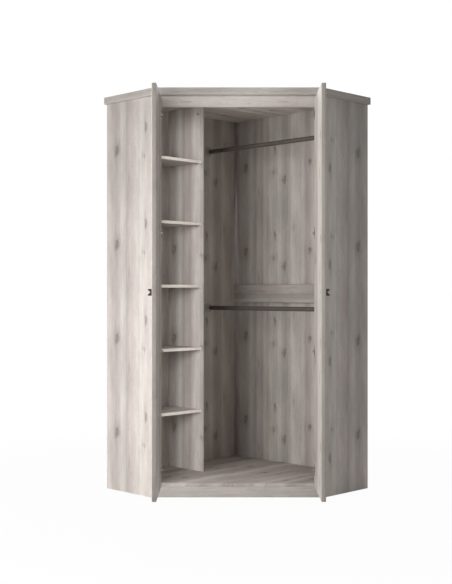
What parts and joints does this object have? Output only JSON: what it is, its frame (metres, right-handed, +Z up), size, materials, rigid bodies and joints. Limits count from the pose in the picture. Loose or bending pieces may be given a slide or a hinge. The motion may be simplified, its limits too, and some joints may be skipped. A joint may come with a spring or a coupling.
{
  "type": "corner wardrobe",
  "caption": "Five-sided corner wardrobe with hinged doors, a shelf column on the left and hanging rails along the right wall, in grey-washed oak.",
  "frame": {"origin": "on the floor, at the middle of the box round the wardrobe with its doors standing open", "axes": "+Z up, +Y towards the back corner of the room, +X to the right as seen from the front; the doors face -Y"},
  "size_m": [1.461, 1.404, 2.143],
  "materials": {
    "washed_oak_upright": "matt grey-washed oak decor, grain upright",
    "washed_oak_across": "matt grey-washed oak decor, grain level",
    "rail_tube": "dark bronze, satin",
    "rail_socket": "dark grey, satin",
    "knob": "black, satin",
    "hinge_steel": "nickel-plated pressed steel",
    "buffer": "clear soft plastic"
  },
  "bodies": {
    "carcass": {"side_panel_left": "washed_oak_upright", "side_panel_right": "washed_oak_upright", "back_panel_left": "washed_oak_upright", "back_panel_right": "washed_oak_upright", "floor_panel": "washed_oak_across", "plinth_front": "washed_oak_across", "base_rail_center": "washed_oak_across", "fascia_rail": "washed_oak_across", "top_panel": "washed_oak_across", "cornice_left": "washed_oak_across", "cornice_right": "washed_oak_across", "cornice_front": "washed_oak_across", "divider_panel": "washed_oak_upright", "shelf_1": "washed_oak_across", "shelf_2": "washed_oak_across", "shelf_3": "washed_oak_across", "shelf_4": "washed_oak_across", "shelf_5": "washed_oak_across", "cross_batten": "washed_oak_across", "hanging_rail_upper": "rail_tube", "rail_socket_upper_right": "rail_socket", "rail_socket_upper_left": "rail_socket", "hanging_rail_lower": "rail_tube", "rail_socket_lower_right": "rail_socket", "rail_socket_lower_left": "rail_socket", "hinge_arm_left_1": "hinge_steel", "hinge_arm_left_2": "hinge_steel", "hinge_arm_left_3": "hinge_steel", "hinge_arm_left_4": "hinge_steel", "hinge_plate_left_1": "hinge_steel", "hinge_plate_left_2": "hinge_steel", "hinge_plate_left_3": "hinge_steel", "hinge_plate_left_4": "hinge_steel", "hinge_arm_right_1": "hinge_steel", "hinge_arm_right_2": "hinge_steel", "hinge_arm_right_3": "hinge_steel", "hinge_arm_right_4": "hinge_steel", "hinge_plate_right_1": "hinge_steel", "hinge_plate_right_2": "hinge_steel", "hinge_plate_right_3": "hinge_steel", "hinge_plate_right_4": "hinge_steel", "door_buffer_upper_left": "buffer", "door_buffer_upper_right": "buffer", "door_buffer_lower_left": "buffer", "door_buffer_lower_right": "buffer"},
    "left_door": {"door_left": "washed_oak_upright", "knob_left": "knob", "knob_screw_left": "hinge_steel", "hinge_cup_left_1": "hinge_steel", "hinge_cup_left_2": "hinge_steel", "hinge_cup_left_3": "hinge_steel", "hinge_cup_left_4": "hinge_steel"},
    "right_door": {"door_right": "washed_oak_upright", "knob_right": "knob", "knob_screw_right": "hinge_steel", "hinge_cup_right_1": "hinge_steel", "hinge_cup_right_2": "hinge_steel", "hinge_cup_right_3": "hinge_steel", "hinge_cup_right_4": "hinge_steel"}
  },
  "joints": [
    {"name": "left_door_hinge", "type": "hinge", "parent": "carcass", "child": "left_door", "pos_m": [-0.41239, -0.29114, 1.0765], "axis": [0, 0, 1], "range_deg": [-20, 90]},
    {"name": "right_door_hinge", "type": "hinge", "parent": "carcass", "child": "right_door", "pos_m": [0.41239, -0.29114, 1.0765], "axis": [0, 0, 1], "range_deg": [-90, 20]}
  ]
}
